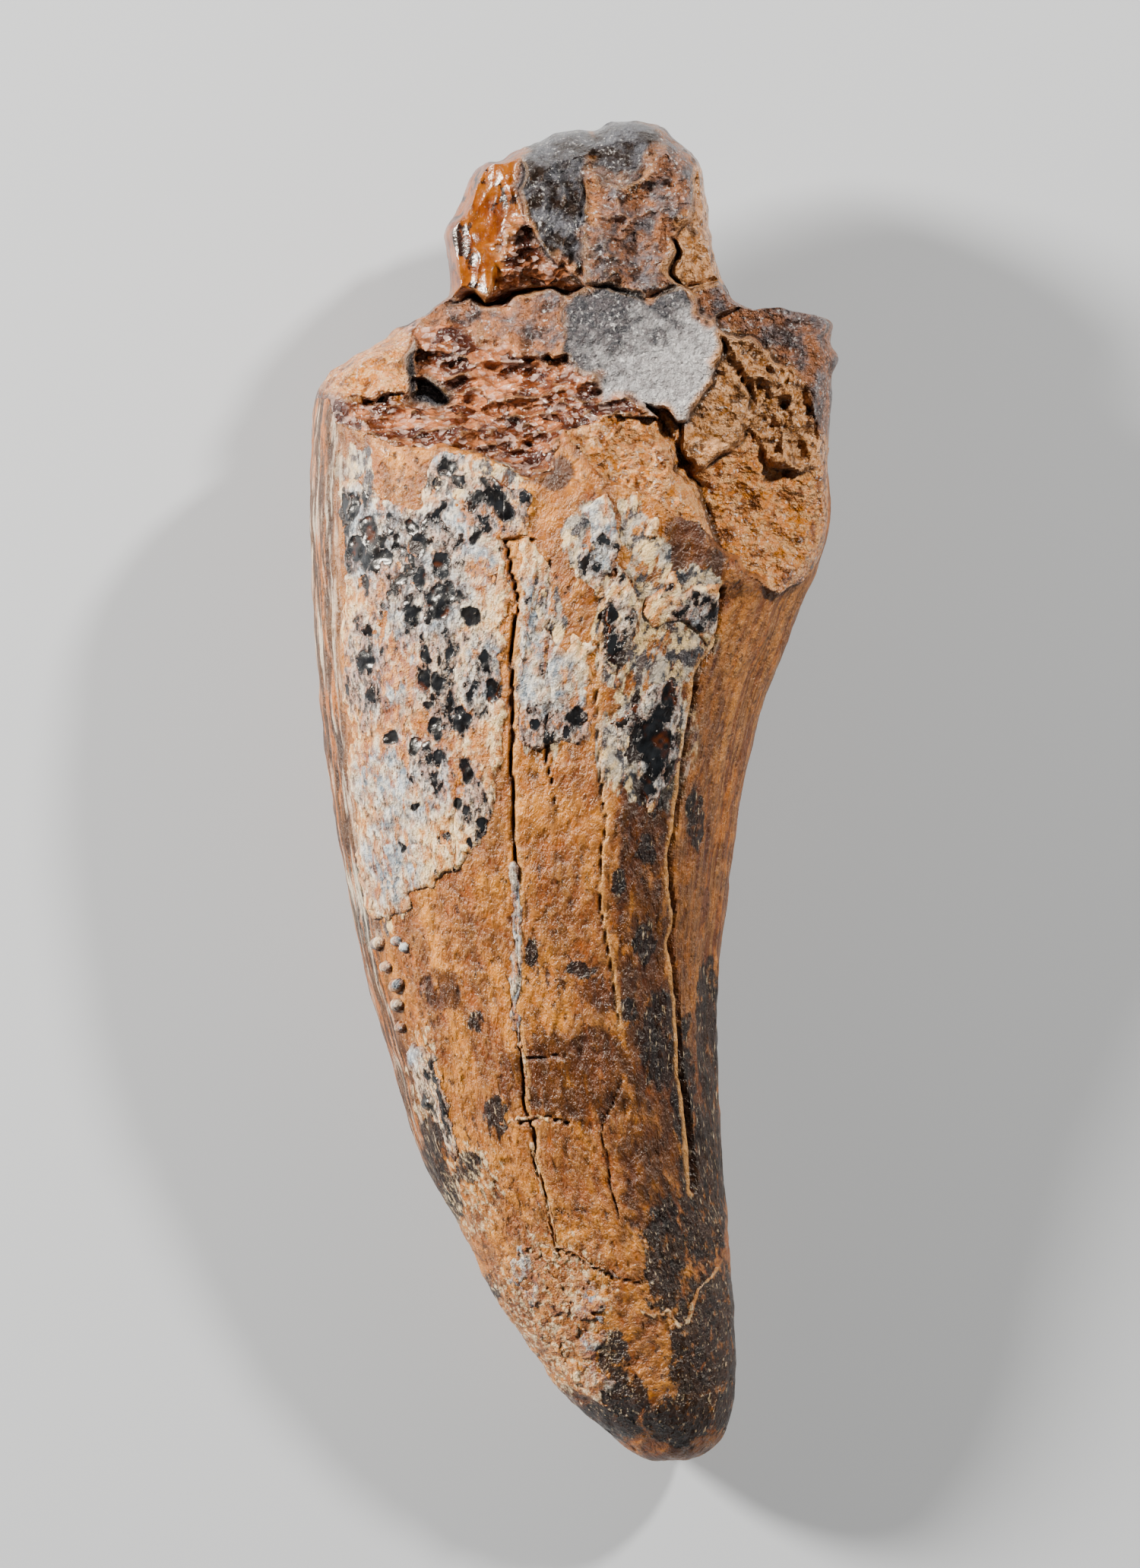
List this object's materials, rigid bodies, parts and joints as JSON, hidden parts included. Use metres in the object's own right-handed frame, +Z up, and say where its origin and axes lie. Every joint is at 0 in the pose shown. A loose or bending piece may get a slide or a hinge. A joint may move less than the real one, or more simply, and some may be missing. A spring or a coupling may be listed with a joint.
{
  "type": "fossil tyrannosaur tooth",
  "caption": "Curved fossil tooth with a worn tip and a broken, spongy root, lying on its side as one solid piece.",
  "frame": {"origin": "under the middle of the tooth's box, on the surface that it rests on", "axes": "+Y from the worn tip to the broken root, along the longest extent; +Z up, away from the face it lies on; -X is the convex front edge"},
  "size_m": [0.0513, 0.1301, 0.0329],
  "materials": {
    "fossil_dentine": "satin"
  },
  "bodies": {
    "root": {"tooth": "fossil_dentine"}
  },
  "joints": []
}
